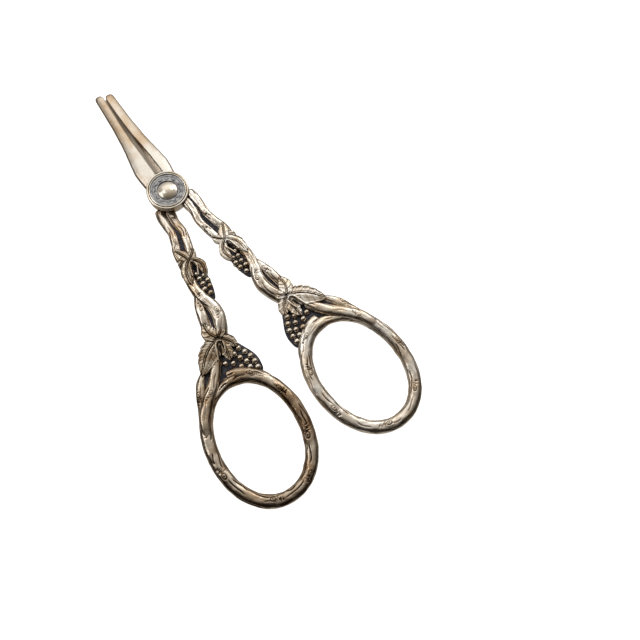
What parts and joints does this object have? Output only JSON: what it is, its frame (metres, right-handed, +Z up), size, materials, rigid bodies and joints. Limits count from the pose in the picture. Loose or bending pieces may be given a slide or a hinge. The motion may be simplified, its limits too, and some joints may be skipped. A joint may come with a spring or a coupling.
{
  "type": "grape shears",
  "caption": "Silver-plated grape shears with a vine of leaves, grapes and twisted stems for handles, oval bark-textured finger bows and a round medallion over the pivot",
  "frame": {"origin": "on the pivot axis, in the flat face of the pivot nut, where the shears rest when laid flat", "axes": "+Y runs from the pivot to the jaw tips along the closed shears, +X is to the right seen from above, +Z is up from the resting face"},
  "size_m": [0.0814, 0.1704, 0.0073],
  "materials": {
    "jaw_silver": "hand-polished silver plate, thin warm tarnish",
    "bow_silver": "cast and chased silver plate, worn bright on the crests",
    "cast_vine_silver": "cast and chased silver plate with bark lines",
    "sunk_ground_silver": "sunk ground, blackened by oxidised silver",
    "grape_silver": "cast silver plate, burnished on the crowns",
    "leaf_silver": "cast and chased silver plate, worn bright on the ribs",
    "medallion_silver": "struck silver plate, oxidised in the sunk ring",
    "nut_silver": "turned, silver plated nickel alloy",
    "blade_steel": "ground steel",
    "washer_brass": "dull brass washer"
  },
  "bodies": {
    "upper_half": {"upper_jaw": "jaw_silver", "pivot_screw": "medallion_silver", "medallion_ring": "medallion_silver", "boss_bezel": "medallion_silver", "pivot_washer": "washer_brass", "pivot_nut": "nut_silver", "right_inner_stem": "cast_vine_silver", "right_outer_stem": "cast_vine_silver", "right_twist_stem": "cast_vine_silver", "right_side_stem": "cast_vine_silver", "right_bow_branch": "cast_vine_silver", "right_stub_branch": "cast_vine_silver", "right_shank_web": "sunk_ground_silver", "right_bow_web": "sunk_ground_silver", "right_small_grapes": "grape_silver", "right_large_grapes": "grape_silver", "right_small_leaf_front": "leaf_silver", "right_small_leaf_back": "leaf_silver", "right_large_leaf_front": "leaf_silver", "right_large_leaf_back": "leaf_silver", "right_bow": "bow_silver"},
    "lower_half": {"lower_jaw": "jaw_silver", "cutting_blade": "blade_steel", "left_inner_stem": "cast_vine_silver", "left_outer_stem": "cast_vine_silver", "left_twist_stem": "cast_vine_silver", "left_side_stem": "cast_vine_silver", "left_bow_branch": "cast_vine_silver", "left_stub_branch": "cast_vine_silver", "left_shank_web": "sunk_ground_silver", "left_bow_web": "sunk_ground_silver", "left_small_grapes": "grape_silver", "left_large_grapes": "grape_silver", "left_small_leaf_front": "leaf_silver", "left_small_leaf_back": "leaf_silver", "left_large_leaf_front": "leaf_silver", "left_large_leaf_back": "leaf_silver", "left_bow": "bow_silver"}
  },
  "joints": [
    {"name": "pivot", "type": "hinge", "parent": "upper_half", "child": "lower_half", "pos_m": [0, 0, 0.0029], "axis": [0, 0, -1], "range_deg": [0, 40]}
  ]
}
